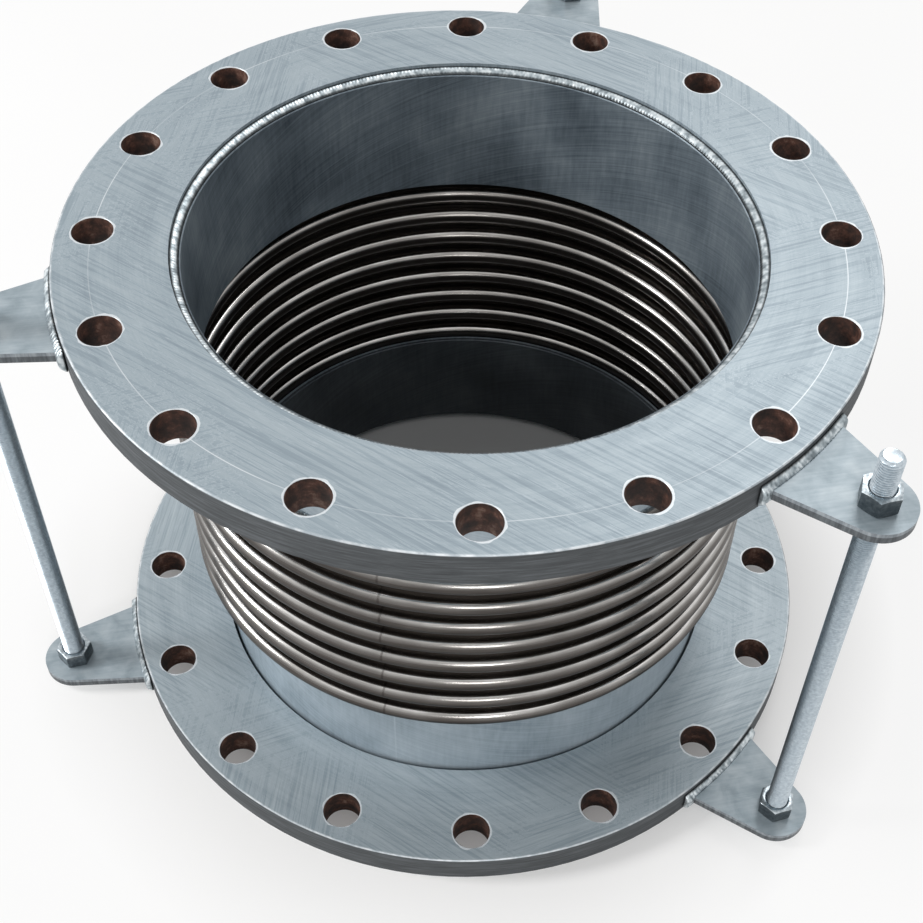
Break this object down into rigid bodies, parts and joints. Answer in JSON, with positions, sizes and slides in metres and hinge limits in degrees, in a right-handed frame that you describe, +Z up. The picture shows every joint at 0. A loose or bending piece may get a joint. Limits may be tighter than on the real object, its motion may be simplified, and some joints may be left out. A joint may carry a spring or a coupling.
{
  "type": "axial expansion joint",
  "caption": "Flanged axial expansion joint: a stainless bellows on two pipe stubs between drilled plate flanges, with threaded tie rods through lugs on the flange rims.",
  "frame": {"origin": "on the pipe axis, in the mating face of the lower flange", "axes": "+Z up the pipe axis towards the upper flange, +Y towards the rear lug"},
  "size_m": [0.6302, 0.6425, 0.4272],
  "materials": {
    "flange_paint": "grey-blue paint over ground plate",
    "pipe_paint": "grey-blue paint, brushed on",
    "lug_paint": "grey-blue paint over cut plate",
    "weld_metal": "rippled weld bead, bright silver",
    "bellows_steel": "bright rolled stainless sheet",
    "rod_zinc": "zinc plated thread",
    "nut_zinc": "zinc plated"
  },
  "bodies": {
    "lower_end": {"lower_flange": "flange_paint", "lower_pipe_stub": "pipe_paint", "lower_bore_weld": "weld_metal", "lower_cuff_weld": "weld_metal", "bellows": "bellows_steel", "lower_lug_rear": "lug_paint", "lower_lug_weld_rear": "weld_metal", "tie_rod_rear": "rod_zinc", "upper_nut_rear": "nut_zinc", "lower_nut_rear": "nut_zinc", "lock_nut_rear": "nut_zinc", "lower_lug_left": "lug_paint", "lower_lug_weld_left": "weld_metal", "tie_rod_left": "rod_zinc", "upper_nut_left": "nut_zinc", "lower_nut_left": "nut_zinc", "lock_nut_left": "nut_zinc", "lower_lug_right": "lug_paint", "lower_lug_weld_right": "weld_metal", "tie_rod_right": "rod_zinc", "upper_nut_right": "nut_zinc", "lower_nut_right": "nut_zinc", "lock_nut_right": "nut_zinc"},
    "upper_end": {"upper_cuff_weld": "weld_metal", "upper_bore_weld": "weld_metal", "upper_pipe_stub": "pipe_paint", "upper_flange": "flange_paint", "upper_lug_rear": "lug_paint", "upper_lug_weld_rear": "weld_metal", "upper_lug_left": "lug_paint", "upper_lug_weld_left": "weld_metal", "upper_lug_right": "lug_paint", "upper_lug_weld_right": "weld_metal"}
  },
  "joints": [
    {"name": "axial_compression", "type": "slide", "parent": "lower_end", "child": "upper_end", "axis": [0, 0, -1], "range_m": [0, 0.03], "stiffness_N_per_m": 300000, "springref_m": -0.0015, "deforming": ["bellows"]}
  ]
}
